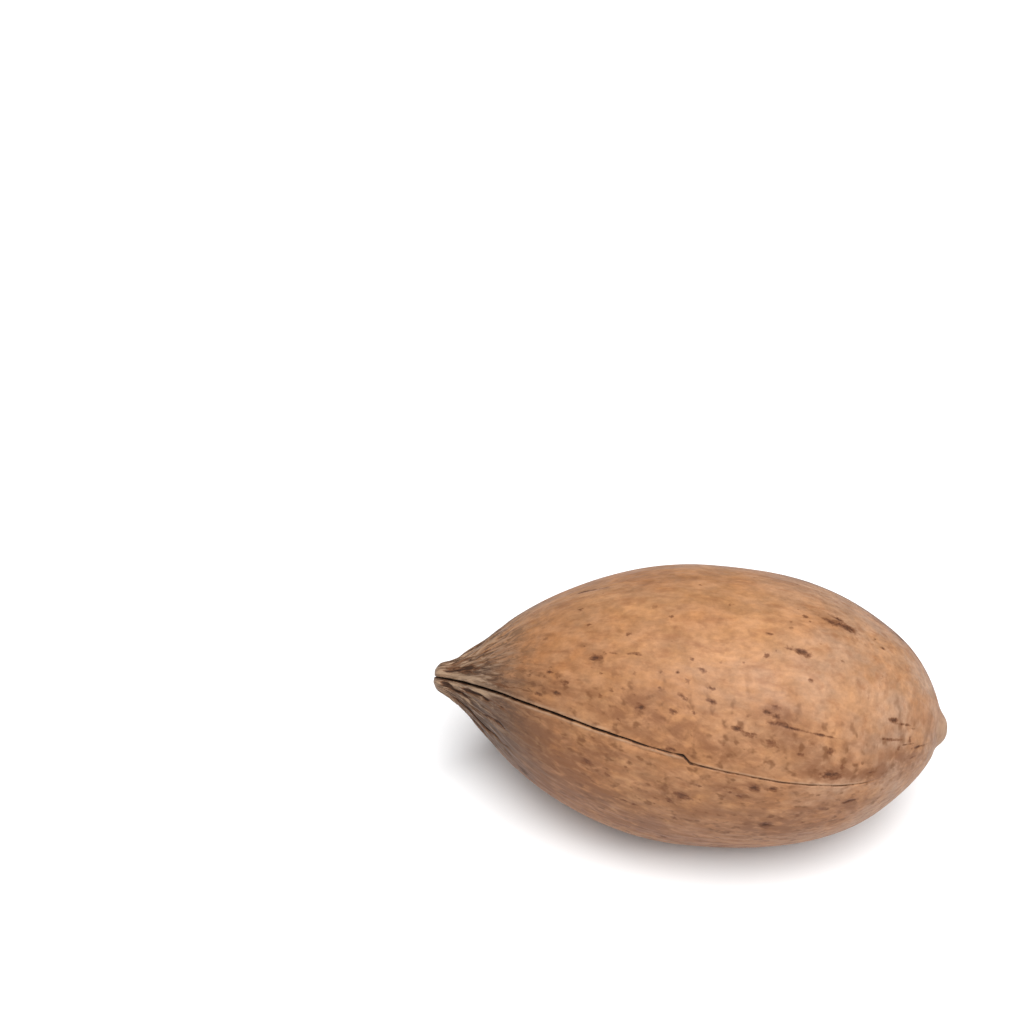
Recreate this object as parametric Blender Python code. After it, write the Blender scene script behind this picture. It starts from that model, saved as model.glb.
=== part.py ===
"""A whole pecan nut in its shell, lying on its side on a small flat spot.

The shell grew as one piece, so it is one solid: a sphere drawn out to the nut's profile, pinched to a
four-cornered beak, split by a seam that twists from beak to base, furrowed round the beak and wrinkled
round the nub at the base. The beak points to -X, the base to +X, and +Z is up.
"""

import math

import bmesh
import bpy
import numpy as np
from mathutils import Matrix, Vector

MM = 0.001

# Driving dimensions.
LENGTH = 44.55 * MM
WIDTH = 24.55 * MM
HEIGHT = 24.25 * MM
REST_SPOT_DEPTH = 0.20 * MM

# The body's profile, by shares of the length from the beak. It is fullest at the belly, and falls away
# to each end as one less a power of the way there, raised to a second power.
BELLY = 0.527
BEAK_POWERS = (2.0, 0.916)
BASE_POWERS = (2.5, 0.597)
NECK_DEPTH = 0.043
NECK_SHARE = 0.085
NECK_SPAN = 0.066
BEAK_RADIUS = 1.35 * MM
BEAK_ROUNDING = 0.006
BEAK_SPAN = 0.041

# The body isn't quite straight: it sags behind the beak, and rises before the base.
BOW = 0.13 * MM
SHOULDER_RISE = 0.30 * MM
SHOULDER_SHARE = 0.94
SHOULDER_SPAN = 0.06
BOW_ANGLE = math.radians(-40)

# The seam between the shell's halves: how high it starts at the beak, how far it turns down to the base,
# and its jog at mid-length.
SEAM_AT_BEAK = math.radians(46.6)
SEAM_TWIST = math.radians(36.3)
SEAM_JOG = math.radians(1.2)
JOG_SHARE = 0.51
JOG_SPAN = 0.03

# The split along the seam, and the lip on each side of it.
SPLIT_HALF_WIDTH = 0.20 * MM
SPLIT_DEPTH = 0.55 * MM
SPLIT_FADES_OVER = 0.40
SPLIT_LEAST = 0.35
LIP_OFFSET = 0.50 * MM
LIP_HALF_WIDTH = 0.28 * MM
LIP_HEIGHT = 0.10 * MM

# Towards the beak the shell is drawn in between four low corners: one on each seam and one along the
# middle of each half.
HOLLOW = 0.10
HOLLOW_SHARE = 0.09
HOLLOW_SPAN = 0.10

# Broad, barely raised ribs that run the nut's whole length.
RIB_COUNT = 11
RIB_HEIGHT = 0.05 * MM

# Furrows that start at the beak and fade out along the nut, on both sides of both seams.
FURROWS_PER_SIDE = 4
FURROW_FIRST = math.radians(20)
FURROW_STEP = math.radians(18)
FURROW_HALF_WIDTH = 0.27 * MM
FURROW_DEPTHS = (0.13 * MM, 0.22 * MM)
FURROW_REACHES = (0.07, 0.15)
FURROW_STRAY = 0.25

# Wrinkles drawn together round the nub at the base.
WRINKLE_COUNT = 14
WRINKLE_HEIGHT = 0.06 * MM
WRINKLE_SHARE = 0.945
WRINKLE_SPAN = 0.03
NUB_HEIGHT = 0.50 * MM
NUB_RADIUS = 1.2 * MM

MERIDIANS = 112
RINGS = 50
CROWDING = 0.72
SLOPE_STEP = 1e-4
SHARP_EDGE = math.radians(50)
SEED = 7

SHELL_COLOUR = (0.50, 0.27, 0.13, 1.0)
SHELL_ROUGHNESS = 0.55


def bell(distance, half_width):
    return np.exp(-((distance / half_width) ** 2))


def girth(share):
    """The profile's share of the half width, at shares of the length from the beak."""
    to_beak = np.clip((BELLY - share) / BELLY, 0, 1)
    to_base = np.clip((share - BELLY) / (1 - BELLY), 0, 1)
    body = (1 - to_beak ** BEAK_POWERS[0]) ** BEAK_POWERS[1]
    body *= (1 - to_base ** BASE_POWERS[0]) ** BASE_POWERS[1]
    body = np.maximum(body - NECK_DEPTH * bell(share - NECK_SHARE, NECK_SPAN), 0)
    blunt = BEAK_RADIUS / (WIDTH / 2) * np.sqrt(1 - np.exp(-share / BEAK_ROUNDING))
    return np.hypot(body, blunt * bell(share, BEAK_SPAN))


def seam_angle(share):
    jog = SEAM_JOG * np.tanh((share - JOG_SHARE) / JOG_SPAN)
    return SEAM_AT_BEAK - SEAM_TWIST * share - jog


def bow(share):
    """How far the middle of each ring is moved off the straight axis, towards the bow's angle."""
    sag = BOW * np.sin(2 * math.pi * share)
    return sag - SHOULDER_RISE * bell(share - SHOULDER_SHARE, SHOULDER_SPAN)


def crowded(angle):
    """The meridian's angle from the seam, with the meridians drawn towards both seams."""
    return angle - CROWDING / 2 * np.sin(2 * angle)


def split_relief(across, share):
    """The split, wide and deep at the beak and a fine line by the base, between its two raised lips."""
    opening = SPLIT_LEAST + (1 - SPLIT_LEAST) * bell(share, SPLIT_FADES_OVER)
    lips = LIP_HEIGHT * bell(np.abs(across) - LIP_OFFSET, LIP_HALF_WIDTH)
    return opening * (lips - SPLIT_DEPTH * bell(across, SPLIT_HALF_WIDTH * np.sqrt(opening)))


def furrow_relief(angle, share, radius):
    """Narrow furrows beside the seams, each with its own reach, place and depth."""
    draw = np.random.default_rng(SEED)
    relief = np.zeros_like(share)
    for side in (0, math.pi):
        for sign in (-1, 1):
            for index in range(FURROWS_PER_SIDE):
                stray = draw.uniform(-FURROW_STRAY, FURROW_STRAY)
                place = side + sign * (FURROW_FIRST + FURROW_STEP * (index + stray))
                turn = np.angle(np.exp(1j * (angle - place)))
                depth = draw.uniform(*FURROW_DEPTHS)
                fade = bell(share, draw.uniform(*FURROW_REACHES)) * np.minimum(radius / BEAK_RADIUS, 1)
                relief -= depth * fade * bell(turn * radius, FURROW_HALF_WIDTH)
    return relief


def base_relief(angle, share, radius):
    """The wrinkles that run in to the nub, and the nub itself."""
    wrinkles = np.cos(WRINKLE_COUNT * angle) * bell(share - WRINKLE_SHARE, WRINKLE_SPAN)
    nub = bell(radius, NUB_RADIUS) * (share > BELLY)
    return WRINKLE_HEIGHT * wrinkles + NUB_HEIGHT * nub


def outward_at(angle):
    """Unit vectors straight out from the nut's axis, at angles up from the front."""
    return np.column_stack([np.zeros_like(angle), -np.cos(angle), np.sin(angle)])


def shell_points(sphere):
    """Places the unit sphere's points on the shell: the smooth body, then the relief along its normals."""
    share = np.clip((sphere[:, 0] + 1) / 2, 0, 1)
    angle = crowded(np.arctan2(sphere[:, 2], -sphere[:, 1]))
    outward = outward_at(seam_angle(share) + angle)

    hollow = HOLLOW * (1 - np.cos(4 * angle)) / 2 * bell(share - HOLLOW_SHARE, HOLLOW_SPAN)
    ring = girth(share) * (1 - hollow)
    body = outward * ring[:, None] * (0, WIDTH / 2, HEIGHT / 2)
    body += outward_at(np.full_like(share, BOW_ANGLE)) * bow(share)[:, None]
    body[:, 0] = (share - 0.5) * LENGTH

    before = np.clip(share - SLOPE_STEP, 0, 1)
    after = np.clip(share + SLOPE_STEP, 0, 1)
    slope = (girth(after) - girth(before)) * WIDTH / 2 / ((after - before) * LENGTH)
    normal = outward - np.outer(slope, (1, 0, 0))
    normal /= np.linalg.norm(normal, axis=1)[:, None]

    radius = ring * WIDTH / 2
    relief = split_relief(radius * np.sin(angle), share)
    relief += furrow_relief(angle, share, radius)
    relief += base_relief(angle, share, radius)
    relief += RIB_HEIGHT * np.cos(RIB_COUNT * angle) * np.sin(math.pi * share) ** 2
    return body + normal * relief[:, None]


def flatten_rest_spot(bm):
    """Cuts the small flat spot under the belly, and closes it with one face."""
    lowest = min(v.co.z for v in bm.verts)
    plane = Vector((0, 0, lowest + REST_SPOT_DEPTH))
    geometry = bm.verts[:] + bm.edges[:] + bm.faces[:]
    cut = bmesh.ops.bisect_plane(
        bm, geom=geometry, dist=1e-7, plane_co=plane, plane_no=(0, 0, -1), clear_outer=True
    )
    rim = [item for item in cut["geom_cut"] if isinstance(item, bmesh.types.BMEdge)]
    bmesh.ops.contextual_create(bm, geom=rim)


def stand_on_origin(bm):
    """Moves the nut so that the origin is under the middle of its box, on the surface that it rests on."""
    points = np.array([v.co for v in bm.verts])
    low, high = points.min(axis=0), points.max(axis=0)
    middle = (low + high) / 2
    bmesh.ops.translate(bm, verts=bm.verts, vec=(-middle[0], -middle[1], -low[2]))


def shell_material():
    material = bpy.data.materials.new("pecan_shell")
    material.use_nodes = True
    shader = material.node_tree.nodes["Principled BSDF"]
    shader.inputs["Base Color"].default_value = SHELL_COLOUR
    shader.inputs["Roughness"].default_value = SHELL_ROUGHNESS
    shader.inputs["Metallic"].default_value = 0.0
    return material


def make_nut(collection):
    bm = bmesh.new()
    bmesh.ops.create_uvsphere(
        bm,
        u_segments=MERIDIANS,
        v_segments=RINGS,
        radius=1.0,
        matrix=Matrix.Rotation(math.pi / 2, 4, "Y"),
    )
    placed = shell_points(np.array([v.co for v in bm.verts]))
    for vertex, point in zip(bm.verts, placed):
        vertex.co = point
    flatten_rest_spot(bm)
    stand_on_origin(bm)
    bmesh.ops.recalc_face_normals(bm, faces=bm.faces)

    mesh = bpy.data.meshes.new("pecan_nut")
    bm.to_mesh(mesh)
    bm.free()
    mesh.shade_smooth()
    mesh.set_sharp_from_angle(angle=SHARP_EDGE)
    mesh.materials.append(shell_material())
    nut = bpy.data.objects.new("pecan_nut", mesh)
    collection.objects.link(nut)
    return nut


def main():
    for leftover in list(bpy.data.objects):
        bpy.data.objects.remove(leftover)
    collection = bpy.data.collections.new("pecan")
    bpy.context.scene.collection.children.link(collection)
    make_nut(collection)


main()
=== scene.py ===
"""A whole pecan in its shell, lying on its side on a pale floor under soft studio light.

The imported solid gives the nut's body and its seam. One finer surface stands for it here: the same body with
the split at its true width, and the fine furrows, wrinkles, grain and colours of the real shell. Lengths are
in metres, the beak points to -X, the base to +X, and +Z is up.
"""

import math

import bpy
import numpy as np
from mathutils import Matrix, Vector


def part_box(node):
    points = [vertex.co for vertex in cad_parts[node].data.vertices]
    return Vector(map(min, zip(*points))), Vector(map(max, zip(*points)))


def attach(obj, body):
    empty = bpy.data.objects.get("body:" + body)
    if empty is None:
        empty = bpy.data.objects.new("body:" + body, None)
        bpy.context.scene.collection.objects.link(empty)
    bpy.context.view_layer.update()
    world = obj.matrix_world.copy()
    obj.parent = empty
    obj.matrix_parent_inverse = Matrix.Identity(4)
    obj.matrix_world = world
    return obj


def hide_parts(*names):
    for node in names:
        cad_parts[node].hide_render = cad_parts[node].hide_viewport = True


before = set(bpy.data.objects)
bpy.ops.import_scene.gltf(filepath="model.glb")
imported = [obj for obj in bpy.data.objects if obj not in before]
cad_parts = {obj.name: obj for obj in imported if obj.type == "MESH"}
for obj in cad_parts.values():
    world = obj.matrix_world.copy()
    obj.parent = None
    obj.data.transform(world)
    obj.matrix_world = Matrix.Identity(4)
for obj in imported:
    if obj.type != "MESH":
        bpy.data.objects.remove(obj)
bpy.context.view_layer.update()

# The shell: thin wood, scarred by the husk that it grew in. It grew as one piece, its two halves joined along
# a seam that has split open at the beak. It lies loose on a small flat spot under its belly, unfixed.

MM = 0.001

LENGTH = 44.55 * MM
WIDTH = 24.55 * MM
HEIGHT = 24.25 * MM

# The profile, by shares of the length from the beak.
BELLY = 0.527
BEAK_POWERS = (2.0, 0.916)
BASE_POWERS = (2.5, 0.597)
NECK_DEPTH = 0.043
NECK_SHARE = 0.085
NECK_SPAN = 0.066
BEAK_RADIUS = 1.35 * MM
BEAK_ROUNDING = 0.006
BEAK_SPAN = 0.041

# The axis isn't quite straight: it sags behind the beak, and rises before the base.
BOW = 0.13 * MM
SHOULDER_RISE = 0.30 * MM
SHOULDER_SHARE = 0.94
SHOULDER_SPAN = 0.06
BOW_ANGLE = math.radians(-40)

# The seam's place at the beak, its twist, and the step where it is chipped.
SEAM_AT_BEAK = math.radians(46.6)
SEAM_TWIST = math.radians(36.3)
SEAM_JOG = math.radians(1.2)
JOG_SHARE = 0.51
JOG_SPAN = 0.03
CHIP_SHARE = 0.523
CHIP_SPAN = 0.0068

# The hollows between the beak's four corners, the low ribs, and the nub with the crease under it.
HOLLOW = 0.10
HOLLOW_SHARE = 0.09
HOLLOW_SPAN = 0.10
RIB_COUNT = 11
RIB_HEIGHT = 0.05 * MM
NUB_HEIGHT = 0.50 * MM
NUB_RADIUS = 1.35 * MM
COLLAR_RADIUS = 1.75 * MM
COLLAR_HALF_WIDTH = 0.50 * MM
COLLAR_DEPTH = 0.13 * MM

# The grid: its lines are drawn together at the seams, and its rings at the beak, the base and the chip, each
# given as a share, a span and a strength.
MERIDIANS = 416
RINGS = 238
SEAM_CROWDING = 5.0
SEAM_REACH = math.radians(4)
RING_CROWDING = ((0.0, 0.16, 0.9), (1.0, 0.08, 0.6), (CHIP_SHARE, 0.012, 2.5))
FINE_STEPS = 20001
SLOPE_STEP = 1e-4


def bell(distance, half_width):
    """1 in the middle, falling to 0: e to the minus square of the distance in half-widths."""
    return np.exp(-((distance / half_width) ** 2))


def ramp(value, start, end):
    """Goes smoothly from 0 before start to 1 after end: three times the square less twice the cube."""
    way = np.clip((value - start) / (end - start), 0, 1)
    return way * way * (3 - 2 * way)


def turned(angle):
    """The same angle, between minus and plus half a turn."""
    return (angle + math.pi) % (2 * math.pi) - math.pi


def girth(share):
    """The profile's share of the half width: fullest at the belly, one less a power of the way to each end,
    raised to a second power, less the neck, and joined to the blunt beak by the root of their squares."""
    to_beak = np.clip((BELLY - share) / BELLY, 0, 1)
    to_base = np.clip((share - BELLY) / (1 - BELLY), 0, 1)
    body = (1 - to_beak ** BEAK_POWERS[0]) ** BEAK_POWERS[1]
    body *= (1 - to_base ** BASE_POWERS[0]) ** BASE_POWERS[1]
    body = np.maximum(body - NECK_DEPTH * bell(share - NECK_SHARE, NECK_SPAN), 0)
    blunt = BEAK_RADIUS / (WIDTH / 2) * np.sqrt(1 - np.exp(-share / BEAK_ROUNDING))
    return np.hypot(body, blunt * bell(share, BEAK_SPAN))


def seam_angle(share):
    """Where the seam is, up from the front: a steady twist down from the beak, less a jog at mid-length that
    follows a hyperbolic tangent."""
    jog = SEAM_JOG * np.tanh((share - JOG_SHARE) / JOG_SPAN)
    return SEAM_AT_BEAK - SEAM_TWIST * share - jog


def bow(share):
    """How far each ring's middle is off the straight axis: one wave, less a bell just before the base."""
    sag = BOW * np.sin(2 * math.pi * share)
    return sag - SHOULDER_RISE * bell(share - SHOULDER_SHARE, SHOULDER_SPAN)


def outward_at(angle):
    """Unit vectors straight out from the nut's axis, at angles up from the front."""
    return np.stack([np.zeros_like(angle), -np.cos(angle), np.sin(angle)], axis=-1)


def body_surface(share, angle):
    """The smooth body: ellipses across the axis, as wide as the profile, drawn in between four corners at
    the beak and moved by the bow. Gives the points, their outward directions and the radius."""
    outward = outward_at(seam_angle(share) + angle)
    hollow = HOLLOW * (1 - np.cos(4 * angle)) / 2 * bell(share - HOLLOW_SHARE, HOLLOW_SPAN)
    ring = girth(share) * (1 - hollow)
    points = outward * ring[..., None] * (0, WIDTH / 2, HEIGHT / 2)
    points += outward_at(np.full_like(share, BOW_ANGLE)) * bow(share)[..., None]
    points[..., 0] = (share - 0.5) * LENGTH
    before = np.clip(share - SLOPE_STEP, 0, 1)
    after = np.clip(share + SLOPE_STEP, 0, 1)
    slope = (girth(after) - girth(before)) * WIDTH / 2 / ((after - before) * LENGTH)
    direction = outward - slope[..., None] * np.array((1.0, 0.0, 0.0))
    direction /= np.linalg.norm(direction, axis=-1, keepdims=True)
    return points, direction, ring * WIDTH / 2


def meridian_angles():
    """Angles from the seam, even in the running total of a density that has a bell at each seam."""
    fine = np.linspace(-math.pi, math.pi, FINE_STEPS)
    density = 1 + SEAM_CROWDING * (bell(fine, SEAM_REACH) + bell(turned(fine - math.pi), SEAM_REACH))
    total = np.concatenate([[0], np.cumsum((density[1:] + density[:-1]) / 2)])
    return np.interp(np.arange(MERIDIANS) / MERIDIANS * total[-1], total, fine)


def ring_shares():
    """Shares of the length, even along the profile's own line but for a bell of density at each crowding."""
    fine = np.sin(np.linspace(-math.pi / 2, math.pi / 2, FINE_STEPS)) / 2 + 0.5
    step = np.hypot(np.diff(fine) * LENGTH, np.diff(girth(fine)) * WIDTH / 2)
    middle = (fine[1:] + fine[:-1]) / 2
    density = np.ones_like(middle)
    for place, span, strength in RING_CROWDING:
        density += strength * bell(middle - place, span)
    total = np.concatenate([[0], np.cumsum(step * density)])
    return np.interp(np.arange(RINGS + 1) / RINGS * total[-1], total, fine)


# The split runs the seam's length: half-widths and depths in millimetres, at shares of the length. It wanders
# by two waves, each a height, a length and a start.
SPLIT_SHARES = (0.0, 0.02, 0.06, 0.10, 0.30, 0.42, 0.45, 0.500, 0.515, 0.533, 0.548, 0.70, 0.84, 0.92)
SPLIT_HALF_WIDTHS = (0.06, 0.08, 0.11, 0.12, 0.11, 0.10, 0.085, 0.08, 0.14, 0.14, 0.095, 0.09, 0.09, 0.07)
SPLIT_DEPTHS = (0.15, 0.42, 0.60, 0.60, 0.45, 0.21, 0.13, 0.11, 0.22, 0.18, 0.11, 0.10, 0.09, 0.0)
SPLIT_WAVES = ((0.016, 0.9, 1), (0.008, 0.37, 2))
# Raised strips beside the split: side, middle, half-width and height in millimetres, and the shares between
# which each one runs.
STRIPS = (
    (-1, 0.21, 0.10, 0.030, 0.03, 0.52),
    (1, 0.27, 0.14, 0.022, 0.03, 0.38),
    (1, 0.20, 0.08, 0.022, 0.54, 0.86),
    (-1, 0.50, 0.24, 0.065, -0.1, 0.13),
    (1, 0.52, 0.26, 0.065, -0.1, 0.12),
)
STRIP_FADE = 0.01
STRIP_END_FADE = 0.03


def split_line(share, radius):
    """How far above the seam's line the split runs: two waves, and one short straight step at the chip in
    place of the seam's own soft jog."""
    along = share * LENGTH / MM
    waves = sum(height * np.sin(along / length + start) for height, length, start in SPLIT_WAVES)
    jog = np.tanh((share - JOG_SHARE) / JOG_SPAN) - np.clip((share - CHIP_SHARE) / CHIP_SPAN, -1, 1)
    return waves * MM + SEAM_JOG * jog * radius


def split_profile(across, share):
    """How far into the split each point is, from 0 to 1: a steep-sided trough, e to the minus fourth power of
    the distance in half-widths."""
    half_width = np.interp(share, SPLIT_SHARES, SPLIT_HALF_WIDTHS) * MM
    return np.exp(-((across / half_width) ** 4))


def strip_relief(across, share):
    """The raised strips beside the split, each a bell across and a ramp at each of its ends."""
    relief = np.zeros_like(across)
    for side, middle, half_width, height, start, end in STRIPS:
        reach = ramp(share, start - STRIP_FADE, start + STRIP_FADE)
        reach *= 1 - ramp(share, end - STRIP_END_FADE, end + STRIP_FADE)
        relief += height * MM * reach * bell(across - side * middle * MM, half_width * MM)
    return relief


# Furrows by the beak, each a line of (share, angle from the seam in degrees), a half-width and a depth in
# millimetres. A depth below 0 is a raised rim.
FURROWS = (
    (((0.021, -14), (0.034, -21), (0.047, -26), (0.071, -23), (0.087, -26)), 0.20, 0.19),
    (((0.093, -38), (0.121, -31), (0.143, -27), (0.177, -29)), 0.19, 0.11),
    (((0.066, -12), (0.081, -10.7), (0.105, -9.5), (0.127, -10)), 0.19, 0.16),
    (((0.140, -9.5), (0.151, -9.5), (0.162, -13)), 0.14, 0.09),
    (((0.078, -33), (0.083, -35.4), (0.093, -40.5)), 0.08, 0.08),
    (((0.045, -55), (0.073, -54), (0.113, -56), (0.175, -47)), 0.20, 0.14),
    (((0.040, -78), (0.090, -74), (0.150, -76)), 0.18, 0.11),
    (((0.019, 28), (0.035, 32), (0.055, 24), (0.075, 19.5), (0.093, 17)), 0.09, 0.09),
    (((0.030, 31), (0.050, 30.6), (0.070, 29.5), (0.092, 26)), 0.36, 0.14),
    (((0.080, 38), (0.089, 37), (0.125, 27.5)), 0.13, 0.06),
    (((0.100, 8.2), (0.113, 7.9), (0.165, 7.7), (0.209, 8.3), (0.235, 7.7)), 0.13, 0.055),
    (((0.410, -2.0), (0.450, -1.8), (0.500, -1.9), (0.520, -1.7)), 0.09, 0.03),
    (((0.845, -7.6), (0.875, -8.3), (0.905, -8.0)), 0.10, 0.03),
    (((0.030, 52), (0.070, 55), (0.120, 54)), 0.12, 0.06),
    (((0.067, 67), (0.135, 67)), 0.20, -0.07),
    (((0.040, 80), (0.100, 84), (0.160, 82)), 0.18, 0.09),
    (((0.050, 104), (0.090, 100), (0.150, 102)), 0.16, 0.11),
)
# How far each furrow fades at its ends, how much it narrows and from where on, how uneven its width is, and
# the two waves that it wavers by, each a height and a length.
FURROW_FADE = 0.012
FURROW_TAPER = 0.65
TAPER_FROM = 0.4
FURROW_UNEVENNESS = 0.35
UNEVEN_LENGTH = 0.5
FURROW_WAVES = ((0.05, 0.37), (0.04, 0.21))
FAR_SIDE_SEED = 7


def furrow_depth(share, angle, radius):
    """Depth of the beak's furrows: a bell across each wavering line, narrower towards its end, and a ramp at
    each end. The far side has the same lines, half a turn round the axis, each strayed by a few degrees and
    of its own depth and reach."""
    draw = np.random.default_rng(FAR_SIDE_SEED)
    total = np.zeros_like(share)
    (slow_height, slow_length), (fast_height, fast_length) = FURROW_WAVES
    for side in (0, math.pi):
        for line, half_width, depth in FURROWS:
            shares, degrees = np.array(line).T
            stray, strength, reach = draw.uniform(-4, 4), draw.uniform(0.7, 1.1), draw.uniform(0.9, 1.2)
            if side == 0:
                stray, strength, reach = 0, 1, 1
            place = side + np.radians(np.interp(share, shares * reach, degrees + stray))
            along = share * LENGTH / MM
            waver = slow_height * np.sin(along / slow_length + degrees[0])
            waver += fast_height * np.sin(along / fast_length + depth * 90)
            across = turned(angle - place) * radius + waver * MM
            start, end = shares[0], shares[-1] * reach
            taper = 1 - FURROW_TAPER * ramp(share, start + TAPER_FROM * (end - start), end + FURROW_FADE)
            uneven = 1 + FURROW_UNEVENNESS * np.sin(along / UNEVEN_LENGTH + degrees[-1])
            fade = ramp(share, start - FURROW_FADE, start + FURROW_FADE)
            fade *= 1 - ramp(share, end - 2 * FURROW_FADE, end + 1.5 * FURROW_FADE)
            total += strength * depth * MM * fade * bell(across, half_width * taper * uneven * MM)
    return total


# The beak's coarse skin: how many waves, how high each is, and the shares over which it comes and goes.
ROUGH_SEED = 5
ROUGH_WAVES = 70
ROUGH_HEIGHT = 0.0075 * MM
ROUGH_COMES = (0.004, 0.03)
ROUGH_GOES = (0.05, 0.22)


def beak_roughness(share, angle):
    """The weathered beak's coarse skin: a seeded crowd of short cosines, which fades out along the nut."""
    draw = np.random.default_rng(ROUGH_SEED)
    along = share * LENGTH / MM
    total = np.zeros_like(share)
    for _ in range(ROUGH_WAVES):
        turns, wave, phase = draw.integers(6, 56), draw.uniform(-3.2, 3.2), draw.uniform(0, 2 * math.pi)
        total += np.cos(turns * angle + wave * along + phase)
    return ROUGH_HEIGHT * total * ramp(share, *ROUGH_COMES) * (1 - ramp(share, *ROUGH_GOES))


# The wrinkles at the base: depths and half-widths in millimetres, and the shares over which they come and go.
WRINKLE_SEED = 11
WRINKLES = 18
WRINKLE_DEPTHS = (0.01, 0.05)
WRINKLE_HALF_WIDTHS = (0.12, 0.26)
WRINKLE_STARTS = (0.87, 0.95)
WRINKLE_COMES_OVER = 0.03
WRINKLE_GOES = (0.982, 0.992)


def wrinkle_depth(share, angle, radius):
    """Depth of the wrinkles at the base: a seeded crowd of fine lines that run in to the nub, each a bell
    across with its own place, lean, start and depth."""
    draw = np.random.default_rng(WRINKLE_SEED)
    total = np.zeros_like(share)
    for index in range(WRINKLES):
        place = 2 * math.pi * (index + draw.uniform(-0.4, 0.4)) / WRINKLES
        lean, start = draw.uniform(-0.8, 0.8), draw.uniform(*WRINKLE_STARTS)
        depth, half_width = draw.uniform(*WRINKLE_DEPTHS), draw.uniform(*WRINKLE_HALF_WIDTHS)
        across = turned(angle - place - lean * (share - WRINKLE_STARTS[1])) * radius
        fade = ramp(share, start, start + WRINKLE_COMES_OVER) * (1 - ramp(share, *WRINKLE_GOES))
        total += depth * MM * fade * bell(across, half_width * MM)
    return total


# The shell's unevenness: how many slow and fine waves there are, and how high each is in millimetres.
SWELL_SEED = 3
SLOW_WAVES = 14
SLOW_HEIGHT = 0.016
FINE_WAVES = 60
FINE_HEIGHT = 0.0009


def swell(share, angle):
    """The shell's slow unevenness and its long fine streaks: two seeded crowds of cosines that close round
    the nut, the slow ones a few to a turn, the fine ones up to a hundred to a turn and long along it."""
    draw = np.random.default_rng(SWELL_SEED)
    along = share * LENGTH / MM
    slow, fine = np.zeros_like(share), np.zeros_like(share)
    for _ in range(SLOW_WAVES):
        turns, wave, phase = draw.integers(1, 8), draw.uniform(-1, 1) / 3.5, draw.uniform(0, 2 * math.pi)
        slow += np.cos(turns * angle + wave * along + phase)
    for _ in range(FINE_WAVES):
        turns, wave, phase = draw.integers(14, 100), draw.uniform(-1, 1) / 1.6, draw.uniform(0, 2 * math.pi)
        fine += np.cos(turns * angle + wave * along + phase)
    middle = np.sin(math.pi * np.clip(share, 0, 1)) ** 0.7
    return (SLOW_HEIGHT * slow + FINE_HEIGHT * fine) * MM * middle


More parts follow.
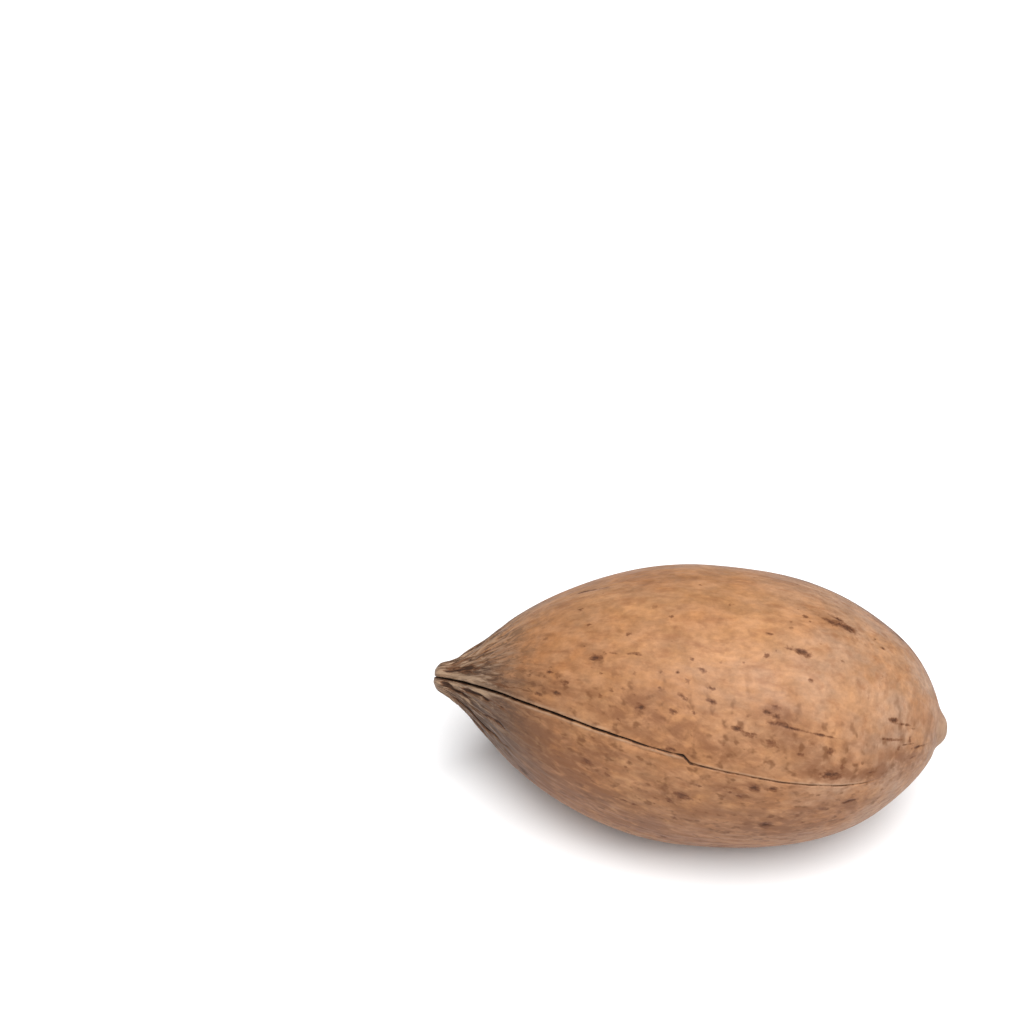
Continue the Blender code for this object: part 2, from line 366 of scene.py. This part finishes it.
# Dark marks on the shell where the husk clung: share, angle from the seam in degrees, and half the length
# and half the width of each in millimetres.
MARKS = (
    (0.719, 58.6, 0.70, 0.27), (0.691, 58.0, 0.30, 0.15), (0.717, 78.3, 0.20, 0.18),
    (0.767, 82.0, 0.56, 0.20), (0.795, 83.8, 0.90, 0.28), (0.781, 87.0, 0.60, 0.20),
    (0.575, 72.0, 0.16, 0.15), (0.869, 84.5, 0.20, 0.14), (0.463, 57.0, 0.20, 0.18),
    (0.559, 27.0, 0.34, 0.18), (0.535, 38.0, 0.42, 0.16), (0.513, 41.0, 0.16, 0.14),
    (0.457, 31.0, 0.15, 0.13), (0.489, 33.0, 0.15, 0.13), (0.499, 25.0, 0.30, 0.17),
    (0.681, 31.5, 0.34, 0.20), (0.666, 29.0, 0.34, 0.18), (0.683, 28.0, 0.26, 0.26),
    (0.692, 25.6, 0.45, 0.20), (0.676, 25.0, 0.36, 0.18), (0.715, 24.8, 0.80, 0.11),
    (0.775, 24.6, 1.10, 0.10), (0.681, 16.3, 0.42, 0.30), (0.613, 19.0, 0.42, 0.18),
    (0.639, 18.0, 0.52, 0.18), (0.793, 17.8, 0.28, 0.25), (0.735, 14.0, 0.24, 0.17),
    (0.797, 6.3, 0.70, 0.30), (0.521, -17.0, 0.60, 0.26), (0.905, 39.5, 0.32, 0.16),
    (0.925, 37.5, 0.60, 0.09), (0.555, 32.0, 0.28, 0.14), (0.411, 19.7, 0.17, 0.16),
    (0.743, 47.2, 0.20, 0.14), (0.651, 61.8, 0.30, 0.12), (0.729, 76.3, 0.14, 0.12),
    (0.459, 24.2, 0.20, 0.14), (0.487, 17.3, 0.32, 0.18), (0.911, 25.8, 0.50, 0.05),
    (0.937, 21.5, 0.46, 0.06), (0.943, 35.0, 0.20, 0.08), (0.949, 7.7, 0.24, 0.09),
    (0.871, 6.4, 0.40, 0.09), (0.240, 22.0, 0.22, 0.14), (0.900, 27.0, 0.70, 0.08),
    (0.958, 17.0, 0.50, 0.09), (0.259, 20.0, 0.27, 0.20), (0.275, 17.0, 0.24, 0.19),
    (0.329, 32.0, 0.46, 0.20), (0.402, 36.5, 0.48, 0.15), (0.361, 35.0, 0.26, 0.10),
    (0.201, 18.0, 0.15, 0.10), (0.231, 19.0, 0.20, 0.10), (0.490, 2.4, 0.36, 0.17),
    (0.655, -4.8, 0.36, 0.34), (0.688, -4.0, 0.50, 0.26), (0.627, -10.4, 0.22, 0.22),
    (0.615, -6.9, 0.20, 0.15), (0.507, -31.1, 0.32, 0.15), (0.495, -21.9, 0.22, 0.18),
    (0.691, -19.7, 0.22, 0.18), (0.681, -25.8, 0.50, 0.40), (0.739, -19.0, 0.22, 0.18),
    (0.791, -14.9, 0.30, 0.18), (0.837, -11.6, 0.50, 0.16), (0.811, -23.0, 0.20, 0.15),
    (0.225, 8.0, 0.36, 0.12), (0.257, 11.0, 0.36, 0.17), (0.367, 19.0, 0.18, 0.12),
    (0.389, 20.0, 0.18, 0.12), (0.425, 14.9, 0.34, 0.26), (0.329, -18.0, 0.46, 0.24),
    (0.371, -20.0, 0.26, 0.18), (0.411, -31.0, 0.80, 0.12), (0.515, -18.0, 0.34, 0.26),
    (0.507, -31.5, 0.26, 0.14), (0.295, 77.0, 1.30, 0.10), (0.085, 23.5, 1.50, 0.28),
)
# A mark's peak by its size, the slight pit at it, and the marks over the rest of the shell: how many, and the
# ranges of their places, half-widths and shapes.
MARK_PEAK = 0.66
MARK_PEAK_PER_MM = 1.1
PIT_DEPTH = 0.03 * MM
FAR_MARKS = 150
FAR_MARK_SHARES = (0.15, 0.95)
FAR_MARK_DEGREES = (114, 308)
FAR_MARK_LEAST = 0.11
FAR_MARK_MORE = 0.25
FAR_MARK_STRETCHES = (1.1, 3.4)
FAR_MARK_SEED = 23


def all_marks():
    """The marks in front, and a seeded crowd of the same kind, mostly small, over the rest of the shell."""
    draw = np.random.default_rng(FAR_MARK_SEED)
    marks = list(MARKS)
    for _ in range(FAR_MARKS):
        share, degrees = draw.uniform(*FAR_MARK_SHARES), draw.uniform(*FAR_MARK_DEGREES)
        size = FAR_MARK_LEAST + FAR_MARK_MORE * draw.random() ** 3
        marks.append((share, degrees, size * draw.uniform(*FAR_MARK_STRETCHES), size))
    return marks


def stain_field(share, angle, radius):
    """How near each point is to a dark mark: a peak at its middle, higher for a bigger mark, half of it on
    the mark's oval edge, and so on down in a straight line. The highest counts."""
    field = np.zeros_like(share)
    for place, degrees, half_length, half_width in all_marks():
        along = (share - place) * LENGTH / (half_length * MM)
        across = turned(angle - math.radians(degrees)) * radius / (half_width * MM)
        peak = min(1.0, MARK_PEAK + MARK_PEAK_PER_MM * math.sqrt(half_length * half_width))
        field = np.maximum(field, peak * (1 - np.hypot(along, across) / 2))
    return field


# Soft reddish-brown and purple-brown patches: share, angle in degrees, half-length and half-width in
# millimetres, and strength. The wide one low on the front (0.50, -48) and the strong ones under the beak, at
# shares 0.12 to 0.26, are painted shade, darker where less light reaches the nut.
PATCHES_AND_SHADE = (
    (0.797, 6.0, 1.1, 0.45, 0.9), (0.657, -4.6, 0.6, 0.45, 1.3), (0.627, -10.0, 0.4, 0.35, 1.2),
    (0.679, -26.0, 1.0, 0.50, 1.2), (0.835, -11.6, 0.6, 0.30, 1.0), (0.50, -48.0, 20.0, 9.0, 0.75),
    (0.72, 20.0, 8.0, 3.6, 0.60), (0.94, 20.0, 3.5, 6.0, 0.30), (0.45, 4.0, 9.0, 2.2, 0.35),
    (0.10, 10.0, 3.0, 2.0, 0.5), (0.20, -25.0, 4.0, 3.5, 0.5), (0.40, 15.0, 3.0, 1.3, 0.7),
    (0.69, 28.0, 1.3, 0.9, 0.9), (0.74, 22.0, 4.0, 0.8, 0.45), (0.36, -8.0, 2.2, 0.9, 0.8),
    (0.31, -20.0, 2.0, 0.9, 0.7), (0.50, -18.0, 3.0, 1.8, 0.6), (0.62, -8.0, 3.5, 1.4, 0.6),
    (0.70, -28.0, 4.5, 2.2, 0.7), (0.80, -16.0, 3.5, 1.4, 0.6), (0.79, 8.0, 2.4, 0.9, 0.7),
    (0.33, 33.0, 2.2, 0.9, 0.5), (0.25, 14.0, 2.6, 0.9, 0.6), (0.55, 8.0, 5.0, 0.9, 0.35),
    (0.78, 83.0, 2.4, 0.9, 0.6), (0.42, -45.0, 4.0, 2.0, 0.6), (0.89, 5.0, 2.0, 1.2, 0.35),
    (0.12, -30.0, 3.0, 2.5, 1.1), (0.18, -45.0, 4.0, 2.6, 1.1), (0.26, -32.0, 5.5, 3.5, 0.9),
    (0.46, 14.0, 6.0, 2.5, 0.35), (0.48, 22.0, 4.0, 1.8, 0.18), (0.875, 5.5, 1.3, 0.5, 0.9),
    (0.935, 9.0, 1.2, 0.8, 0.6),
)
# The most that patches over one another come to, and the patches on the far side: how many, and the ranges
# of their places, half-lengths, half-widths and strengths.
PATCH_MOST = 1.2
FAR_PATCHES = 34
FAR_PATCH_RANGES = ((0.1, 0.95), (105, 305), (1.5, 4.5), (0.7, 2.2), (0.4, 0.9))
FAR_PATCH_SEED = 31


def patch_and_shade_field(share, angle, radius):
    """The soft patches and the painted shade among them, each a bell both ways, and a seeded crowd of patches
    on the far side.
    """
    draw = np.random.default_rng(FAR_PATCH_SEED)
    patches_and_shade = list(PATCHES_AND_SHADE)
    for _ in range(FAR_PATCHES):
        patches_and_shade.append([draw.uniform(low, high) for low, high in FAR_PATCH_RANGES])
    field = np.zeros_like(share)
    for place, degrees, half_length, half_width, strength in patches_and_shade:
        along = (share - place) * LENGTH / (half_length * MM)
        across = turned(angle - math.radians(degrees)) * radius / (half_width * MM)
        field += strength * np.exp(-(along ** 2) - across ** 2)
    return np.clip(field, 0, PATCH_MOST)


# Where the grain is drawn together towards the base, the depth or height at which each form takes its full
# colour, and how dark or light it then is.
GRAIN_GATHERS = (0.62, 0.90)
SPLIT_DARK_DEPTH = 0.22 * MM
FURROW_DARK_DEPTH = 0.12 * MM
FURROW_DARK = 0.85
WRINKLE_DARK_DEPTH = 0.07 * MM
WRINKLE_DARK = 0.20
COLLAR_DARK = 0.25
STRIP_LIGHT_HEIGHT = 0.042 * MM
STRIP_SHADE_DEPTH = 0.10 * MM
NUB_LIGHT = 1.3


def shell_arrays(share, angle):
    """The finished surface: the smooth body, and on it along its directions the ribs, the swell, the nub (e
    to the minus cube of the radius) and the strips, less the split, the furrows, the wrinkles, the crease
    under the nub and a slight pit at each mark. With it come the values that the colours follow: places for
    the grain, rolled out round the belly and drawn together at the base, and four shares."""
    points, direction, radius = body_surface(share, angle)
    across = radius * np.sin(angle) - split_line(share, radius) * np.sign(np.cos(angle))
    split = split_profile(across, share)
    depth = np.interp(share, SPLIT_SHARES, SPLIT_DEPTHS) * MM
    furrows = furrow_depth(share, angle, radius)
    wrinkles = wrinkle_depth(share, angle, radius)
    stain = stain_field(share, angle, radius)
    strips = strip_relief(across, share)
    at_base = share > BELLY
    nub = NUB_HEIGHT * np.exp(-((radius / NUB_RADIUS) ** 3)) * at_base
    collar = bell(radius - COLLAR_RADIUS, COLLAR_HALF_WIDTH) * at_base * (1 - np.sin(angle)) / 2

    relief = RIB_HEIGHT * np.cos(RIB_COUNT * angle) * np.sin(math.pi * share) ** 2
    relief += swell(share, angle) + beak_roughness(share, angle) + nub + strips
    relief -= depth * split + furrows + wrinkles + COLLAR_DEPTH * collar
    relief -= PIT_DEPTH * ramp(stain, 0.35, 0.8)
    points = points + direction * relief[..., None]

    belly = WIDTH / 2 / MM
    reach = belly + (radius / MM - belly) * ramp(share, *GRAIN_GATHERS)
    lie = angle - SEAM_TWIST * share * np.sin(angle) ** 2
    grain = np.stack([share * LENGTH / MM, np.cos(lie) * reach, np.sin(lie) * reach], axis=-1)
    # Each hollow darkens in step with its depth: in the split and the crease round the nub this is painted
    # shade, in the furrows and wrinkles it is partly their own dark brown and partly painted shade.
    dark = split * np.clip(depth / SPLIT_DARK_DEPTH, 0, 1) ** 1.1
    dark = np.maximum(dark, FURROW_DARK * np.clip(furrows / FURROW_DARK_DEPTH, 0, 1))
    dark = np.maximum(dark, WRINKLE_DARK * np.clip(wrinkles / WRINKLE_DARK_DEPTH, 0, 1))
    dark = np.maximum(dark, COLLAR_DARK * collar)
    light = np.clip(strips / STRIP_LIGHT_HEIGHT - furrows / STRIP_SHADE_DEPTH, 0, 1) * (1 - split)
    light = np.maximum(light, NUB_LIGHT * bell(radius, NUB_RADIUS) * at_base)
    patch_and_shade = patch_and_shade_field(share, angle, radius)
    return points, {"grain": grain, "dark": dark, "light": light, "stain": stain, "patch_and_shade": patch_and_shade}


def nut_mesh():
    """The surface as a mesh: rings of four-cornered faces between one point at each end, placed in the
    solid's box, and pressed flat at the floor."""
    share, angle = np.meshgrid(ring_shares()[1:-1], meridian_angles(), indexing="ij")
    points, values = shell_arrays(share, angle)
    ends, end_values = shell_arrays(np.array([0.0, 1.0]), np.array([0.0, 0.0]))
    points = np.concatenate([points.reshape(-1, 3), ends])
    solid_low, solid_high = (np.array(corner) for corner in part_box("pecan_nut"))
    middle = (points.min(axis=0) + points.max(axis=0)) / 2
    points[:, :2] += ((solid_low + solid_high) / 2 - middle)[:2]
    points[:, 2] += solid_high[2] - points[:, 2].max()
    points[:, 2] = np.maximum(points[:, 2], solid_low[2])

    index = np.arange(share.size).reshape(share.shape)
    beside = np.roll(index, -1, axis=1)
    quads = np.stack([index[:-1], index[1:], beside[1:], beside[:-1]], axis=-1).reshape(-1, 4)
    beak = np.full(MERIDIANS, share.size)
    beak_fan = np.stack([beak, index[0], beside[0]], axis=-1)
    base_fan = np.stack([beak + 1, beside[-1], index[-1]], axis=-1)
    mesh = bpy.data.meshes.new("pecan_shell")
    mesh.from_pydata(points.tolist(), [], quads.tolist() + beak_fan.tolist() + base_fan.tolist())
    mesh.polygons.foreach_set("use_smooth", np.ones(len(mesh.polygons), bool))
    for name, value in values.items():
        rows = np.concatenate([value.reshape(share.size, -1), end_values[name].reshape(2, -1)])
        kind, field = ("FLOAT_VECTOR", "vector") if rows.shape[1] == 3 else ("FLOAT", "value")
        mesh.attributes.new(name, kind, "POINT").data.foreach_set(field, rows.ravel())
    mesh.update()
    return mesh


def added(tree, kind, inputs=(), output=0, **settings):
    """Adds a shader node with its settings, links or sets its inputs, and gives one of its outputs."""
    made = tree.nodes.new(kind)
    for name, value in settings.items():
        setattr(made, name, value)
    for name, value in dict(inputs).items():
        if isinstance(value, bpy.types.NodeSocket):
            tree.links.new(value, made.inputs[name])
        else:
            made.inputs[name].default_value = value
    return made.outputs[output]


def worked(tree, operation, first, second=0.0):
    """One sum on two values."""
    return added(tree, "ShaderNodeMath", {0: first, 1: second}, operation=operation)


def blended(tree, factor, under, over, how="MIX"):
    """One colour over another."""
    return added(tree, "ShaderNodeMix", {0: factor, 6: under, 7: over}, 2, data_type="RGBA", blend_type=how)


def risen(tree, value, start, end, least=0.0, most=1.0):
    """Goes smoothly from least before start to most after end."""
    inputs = {"Value": value, "From Min": start, "From Max": end, "To Min": least, "To Max": most}
    return added(tree, "ShaderNodeMapRange", inputs, interpolation_type="SMOOTHSTEP")


def stretched(tree, place, scale):
    """The same place, stretched by three scales."""
    return added(tree, "ShaderNodeVectorMath", {0: place, 1: scale}, operation="MULTIPLY")


def clouded(tree, place, scale, detail=4.0, roughness=0.55, distortion=0.0):
    """Noise over a place stretched by three scales, from 0 to 1."""
    inputs = {
        "Vector": stretched(tree, place, scale),
        "Scale": 1.0,
        "Detail": detail,
        "Roughness": roughness,
        "Distortion": distortion,
    }
    return added(tree, "ShaderNodeTexNoise", inputs)


def shell_material():
    """The shell's finish, from the wood up: a golden and orange-brown cloud with peach in it, a grey film
    that thickens to the base, an underside painted paler and pinker as light bounced up from the floor, long
    rust streaks, soft purple-brown patches with painted shade among them, blots and specks, ragged dark
    marks, the grey-brown beak with its strokes and painted shade on its underside, then the paler strips
    beside the split, and the dark furrows and split, darker the deeper they are and partly painted shade."""
    material = bpy.data.materials.new("pecan_shell")
    material.use_nodes = True
    tree = material.node_tree
    shader = tree.nodes["Principled BSDF"]

    grain = added(tree, "ShaderNodeAttribute", attribute_name="grain", output=1)
    dark = added(tree, "ShaderNodeAttribute", attribute_name="dark", output=2)
    light = added(tree, "ShaderNodeAttribute", attribute_name="light", output=2)
    stain = added(tree, "ShaderNodeAttribute", attribute_name="stain", output=2)
    patch_and_shade = added(tree, "ShaderNodeAttribute", attribute_name="patch_and_shade", output=2)
    here = stretched(tree, added(tree, "ShaderNodeTexCoord", output=3), (1 / MM, 1 / MM, 1 / MM))
    along = added(tree, "ShaderNodeSeparateXYZ", {0: grain})

    golden = (0.350, 0.166, 0.067, 1)
    orange = (0.300, 0.126, 0.046, 1)
    peach = (0.350, 0.178, 0.088, 1)
    film_grey = (0.335, 0.208, 0.136, 1)
    floor_bounce_pink = (0.385, 0.245, 0.175, 1)
    purple = (0.158, 0.063, 0.027, 1)
    rust = (0.200, 0.076, 0.030, 1)
    blot_brown = (0.128, 0.050, 0.019, 1)
    dot_brown = (0.122, 0.044, 0.017, 1)
    mark_brown = (0.060, 0.023, 0.011, 1)
    beak_grey = (0.215, 0.132, 0.084, 1)
    beak_brown = (0.052, 0.026, 0.014, 1)
    beak_patch_and_shade_brown = (0.072, 0.044, 0.029, 1)
    crease_brown = (0.118, 0.049, 0.021, 1)
    furrow_brown = (0.034, 0.016, 0.009, 1)
    split_shade_black = (0.017, 0.009, 0.004, 1)
    lip_tan = (0.340, 0.230, 0.150, 1)

    broad = risen(tree, clouded(tree, here, (0.12, 0.18, 0.18), 3, 0.55), 0.32, 0.68)
    colour = blended(tree, broad, golden, orange)
    hue = risen(tree, clouded(tree, here, (0.42, 0.72, 0.72), 3, 0.55, 0.2), 0.30, 0.70, 0.0, 0.60)
    colour = blended(tree, hue, colour, peach)
    film = risen(tree, clouded(tree, here, (0.20, 0.30, 0.30), 3, 0.55), 0.36, 0.68, 0.16, 0.64)
    base_share = risen(tree, along, 24.0, 42.0, 0.30, 1.4)
    colour = blended(tree, worked(tree, "MULTIPLY", film, base_share), colour, film_grey)
    # Painted light bounced up from the floor: the underside is painted paler and pinker from 7 mm above the
    # floor down.
    level = added(tree, "ShaderNodeSeparateXYZ", {0: here}, 2)
    colour = blended(tree, risen(tree, level, 7.0, 3.0, 0.0, 0.80), colour, floor_bounce_pink)

    cloud = risen(tree, clouded(tree, grain, (0.42, 0.75, 0.75), 4, 0.60, 0.5), 0.28, 0.72, 0.84, 1.14)
    fine_cloud = risen(tree, clouded(tree, here, (1.5, 2.4, 2.4), 3, 0.60), 0.28, 0.72, 0.88, 1.10)
    tone = worked(tree, "MULTIPLY", cloud, fine_cloud)
    tone = added(tree, "ShaderNodeCombineColor", {0: tone, 1: tone, 2: tone})
    colour = blended(tree, 1.0, colour, tone, "MULTIPLY")
    streaks = risen(tree, clouded(tree, grain, (0.40, 1.4, 1.4), 4, 0.60, 0.3), 0.48, 0.74, 0.0, 0.50)
    colour = blended(tree, streaks, colour, rust)

    # Purple-brown where the patch field is strong: real bruises, and painted shade low on the front and under
    # the beak.
    ragged = risen(tree, clouded(tree, grain, (0.55, 0.9, 0.9), 5, 0.62, 0.5), 0.30, 0.70, 0.30, 1.0)
    bruise_and_shade = risen(tree, worked(tree, "MULTIPLY", patch_and_shade, ragged), 0.0, 1.0, 0.0, 0.85)
    colour = blended(tree, bruise_and_shade, colour, purple)
    blots = risen(tree, clouded(tree, grain, (1.0, 1.35, 1.35), 2, 0.50), 0.54, 0.72, 0.0, 0.80)
    blots = worked(tree, "MULTIPLY", blots, risen(tree, patch_and_shade, 0.0, 0.7, 0.25, 1.0))
    blots = worked(tree, "MULTIPLY", blots, risen(tree, along, 40.0, 43.0, 1.0, 0.35))
    colour = blended(tree, blots, colour, blot_brown)

    cell_place = stretched(tree, grain, (1.1, 1.5, 1.5))
    cells = added(tree, "ShaderNodeTexVoronoi", {"Vector": cell_place, "Scale": 1.0})
    pick = added(tree, "ShaderNodeSeparateColor", {0: cells.node.outputs[1]})
    grit = clouded(tree, grain, (3.6, 6.4, 6.4), 3, 0.6)
    grit = worked(tree, "MULTIPLY", worked(tree, "SUBTRACT", grit, 0.5), 0.75)
    speck = worked(tree, "SUBTRACT", risen(tree, pick, 0.76, 1.0, 0.0, 0.31), cells)
    speck = worked(tree, "ADD", speck, grit)
    crowd = risen(tree, clouded(tree, here, (0.30, 0.40, 0.40), 2, 0.5), 0.38, 0.58, 0.30, 1.0)
    specks = worked(tree, "MULTIPLY", risen(tree, speck, -0.06, 0.16, 0.0, 0.92), crowd)
    colour = blended(tree, specks, colour, dot_brown)

    fray = clouded(tree, grain, (1.2, 2.2, 2.2), 5, 0.66, 0.3)
    fray = worked(tree, "MULTIPLY", worked(tree, "SUBTRACT", fray, 0.5), 2.2)
    frayed = worked(tree, "ADD", stain, fray)
    near = risen(tree, stain, 0.05, 0.30)
    halo = worked(tree, "MULTIPLY", risen(tree, frayed, 0.15, 0.62, 0.0, 0.85), near)
    colour = blended(tree, halo, colour, dot_brown)
    marks = worked(tree, "MULTIPLY", risen(tree, frayed, 0.50, 0.95, 0.0, 0.95), near)
    colour = blended(tree, marks, colour, mark_brown)

    weather = clouded(tree, grain, (0.45, 0.75, 0.75), 5, 0.68, 0.4)
    reach = worked(tree, "MULTIPLY", worked(tree, "SUBTRACT", weather, 0.5), 18.0)
    reach = worked(tree, "ADD", along, reach)
    colour = blended(tree, risen(tree, reach, 0.5, 9.5, 0.80, 0.0), colour, beak_grey)
    fibres = clouded(tree, grain, (0.75, 1.1, 1.1), 6, 0.72, 0.6)
    # Painted shade on the underside of the beak: the beak is darkened where the patch field is strong, and
    # its real patches are darkened with it.
    beak_patch_and_shade = worked(tree, "MULTIPLY", patch_and_shade, risen(tree, along, 5.0, 14.0, 0.55, 0.0))
    colour = blended(tree, beak_patch_and_shade, colour, beak_patch_and_shade_brown)
    ridge_reach = risen(tree, along, 1.0, 10.0, 0.85, 0.0)
    ridge = worked(tree, "MULTIPLY", risen(tree, fibres, 0.47, 0.39), ridge_reach)
    colour = blended(tree, ridge, colour, lip_tan)
    stroke_reach = risen(tree, along, 1.5, 12.0, 0.95, 0.0)
    strokes = worked(tree, "MULTIPLY", risen(tree, fibres, 0.50, 0.56), stroke_reach)
    colour = blended(tree, strokes, colour, beak_brown)

    tan = worked(tree, "MULTIPLY", light, risen(tree, fibres, 0.42, 0.58, 0.75, 0.36))
    colour = blended(tree, tan, colour, lip_tan)
    # The hollows, darker the deeper they are: partly the furrows' own dark brown, partly painted shade, and
    # painted shade alone in the split's black bottom.
    shade = worked(tree, "MULTIPLY", dark, risen(tree, fibres, 0.38, 0.58, 0.48, 1.35))
    colour = blended(tree, risen(tree, shade, 0.12, 0.42, 0.0, 0.92), colour, crease_brown)
    colour = blended(tree, risen(tree, shade, 0.40, 0.64, 0.0, 0.95), colour, furrow_brown)
    colour = blended(tree, risen(tree, dark, 0.86, 1.0), colour, split_shade_black)

    tree.links.new(colour, shader.inputs["Base Color"])
    polish = clouded(tree, grain, (0.4, 2.2, 2.2), 4, 0.6)
    rough = risen(tree, polish, 0.3, 0.7, 0.46, 0.66)
    dull = worked(tree, "MAXIMUM", marks, risen(tree, dark, 0.1, 0.6))
    rough = worked(tree, "ADD", rough, worked(tree, "MULTIPLY", dull, 0.25))
    tree.links.new(rough, shader.inputs["Roughness"])

    pores = clouded(tree, here, (3.2, 4.5, 4.5), 4, 0.6)
    ridges = clouded(tree, grain, (0.6, 2.4, 2.4), 4, 0.6)
    bumps = worked(tree, "ADD", worked(tree, "MULTIPLY", pores, 0.6), ridges)
    bumps = worked(tree, "SUBTRACT", bumps, worked(tree, "MULTIPLY", marks, 0.5))
    bump = added(tree, "ShaderNodeBump", {"Height": bumps, "Strength": 0.5, "Distance": 0.05 * MM})
    tree.links.new(bump, shader.inputs["Normal"])
    shader.inputs["Metallic"].default_value = 0.0
    shader.inputs["IOR"].default_value = 1.45
    shader.inputs["Specular IOR Level"].default_value = 0.24
    return material


nut = bpy.data.objects.new("pecan_shell_skin", nut_mesh())
bpy.context.scene.collection.objects.link(nut)
nut.data.materials.append(shell_material())
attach(nut, "root")
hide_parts("pecan_nut")

# The floor: one wide sheet of smooth white board, painted matt and laid flat under the nut. It is part of
# the studio and not a piece of the nut.

FLOOR_HALF = 1.5
FLOOR_WHITE = (0.86, 0.86, 0.865, 1)
FLOOR_ROUGHNESS = 0.7

floor_mesh = bpy.data.meshes.new("floor")
corners = [(-FLOOR_HALF, -FLOOR_HALF, 0), (FLOOR_HALF, -FLOOR_HALF, 0),
           (FLOOR_HALF, FLOOR_HALF, 0), (-FLOOR_HALF, FLOOR_HALF, 0)]
floor_mesh.from_pydata(corners, [], [(0, 1, 2, 3)])
floor = bpy.data.objects.new("floor", floor_mesh)
bpy.context.scene.collection.objects.link(floor)
floor_paint = bpy.data.materials.new("floor")
floor_paint.use_nodes = True
floor_shader = floor_paint.node_tree.nodes["Principled BSDF"]
floor_shader.inputs["Base Color"].default_value = FLOOR_WHITE
floor_shader.inputs["Roughness"].default_value = FLOOR_ROUGHNESS
floor_mesh.materials.append(floor_paint)

# The light and the camera: one broad soft panel overhead, a little to the front and to the base's side, the
# pale room around it, and a long lens that looks down on the nut from the front.

PANEL_SIZE = 0.9
PANEL_PLACE = (0.14, -0.25, 0.85)
PANEL_POWER = 18.6
ROOM_WHITE = (0.96, 0.97, 1.0, 1)
ROOM_STRENGTH = 0.15

panel = bpy.data.lights.new("panel", "AREA")
panel.shape = "SQUARE"
panel.size = PANEL_SIZE
panel.energy = PANEL_POWER
panel_object = bpy.data.objects.new("panel", panel)
panel_object.location = PANEL_PLACE
panel_object.rotation_euler = (-Vector(PANEL_PLACE)).to_track_quat("-Z", "Y").to_euler()
bpy.context.scene.collection.objects.link(panel_object)

world = bpy.data.worlds.new("room")
world.use_nodes = True
background = world.node_tree.nodes["Background"]
background.inputs["Color"].default_value = ROOM_WHITE
background.inputs["Strength"].default_value = ROOM_STRENGTH
bpy.context.scene.world = world
bpy.context.scene.view_settings.view_transform = "Standard"

EYE = (0.01562, -0.22304, 0.28017)
ELEVATION = math.radians(47.5)
AZIMUTH = math.radians(7.976)
LENS = 140.17
SENSOR_WIDTH = 36.0
NEAREST = 0.01

lens = bpy.data.cameras.new("camera")
lens.lens = LENS
lens.sensor_width = SENSOR_WIDTH
lens.clip_start = NEAREST
camera = bpy.data.objects.new("camera", lens)
camera.location = EYE
camera.rotation_euler = (math.pi / 2 - ELEVATION, 0, AZIMUTH)
bpy.context.scene.collection.objects.link(camera)
bpy.context.scene.camera = camera
